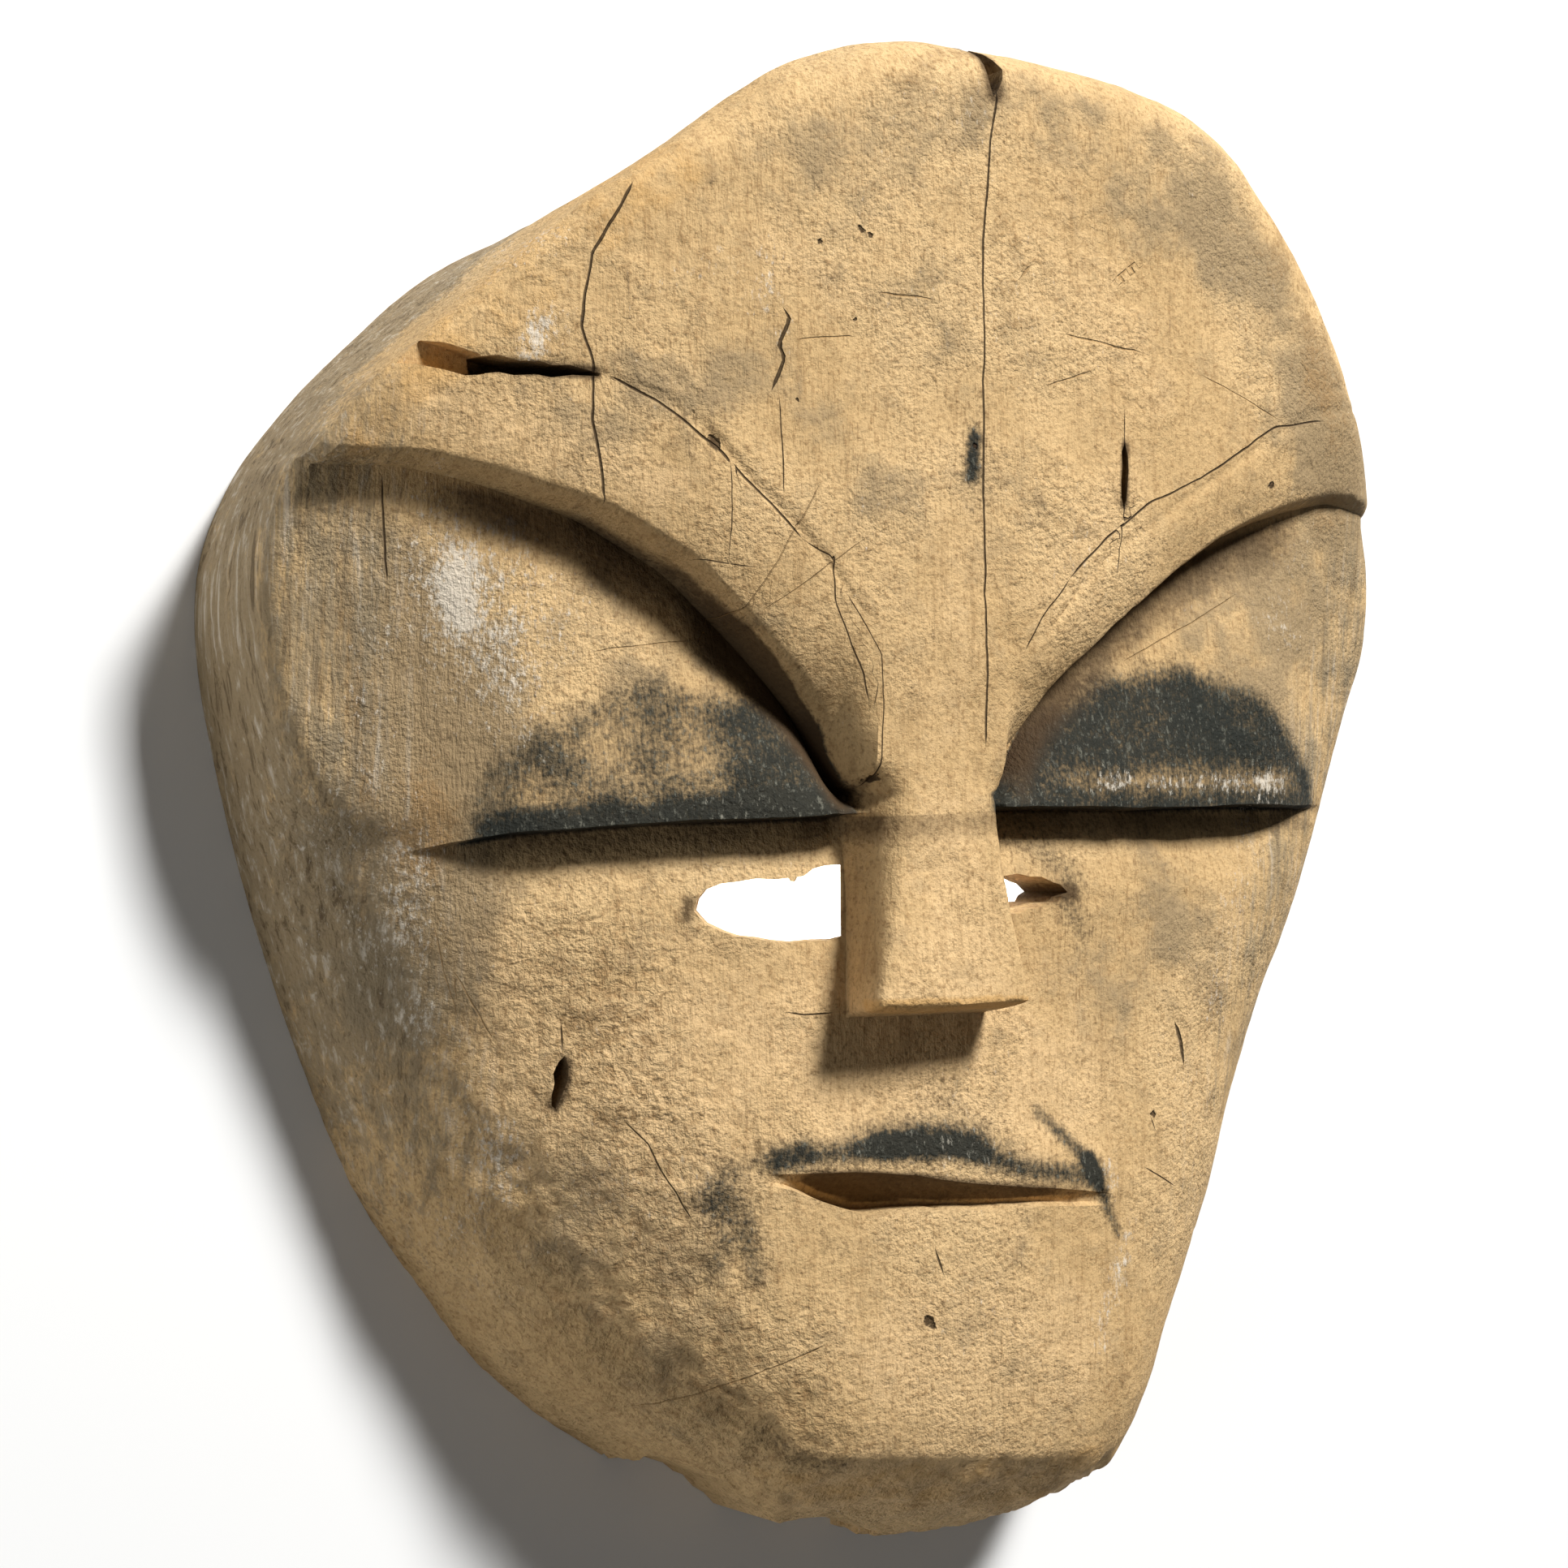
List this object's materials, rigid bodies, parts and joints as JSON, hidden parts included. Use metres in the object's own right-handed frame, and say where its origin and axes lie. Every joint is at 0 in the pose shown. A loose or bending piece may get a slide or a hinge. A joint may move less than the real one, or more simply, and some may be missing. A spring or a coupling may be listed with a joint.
{
  "type": "face mask",
  "caption": "Hollow wooden face mask with a Y of brows and a straight nose, ledged lids, two eye holes, a narrow cut mouth and a squared chin.",
  "frame": {"origin": "on the plane of the back rim, under the middle of the mask's width and height", "axes": "+X to the right of the face as it is looked at, +Y to the top of the forehead, +Z out of the face"},
  "size_m": [0.259, 0.302, 0.073],
  "materials": {
    "wood": "dry, weathered, unvarnished"
  },
  "bodies": {
    "root": {"mask": "wood"}
  },
  "joints": []
}
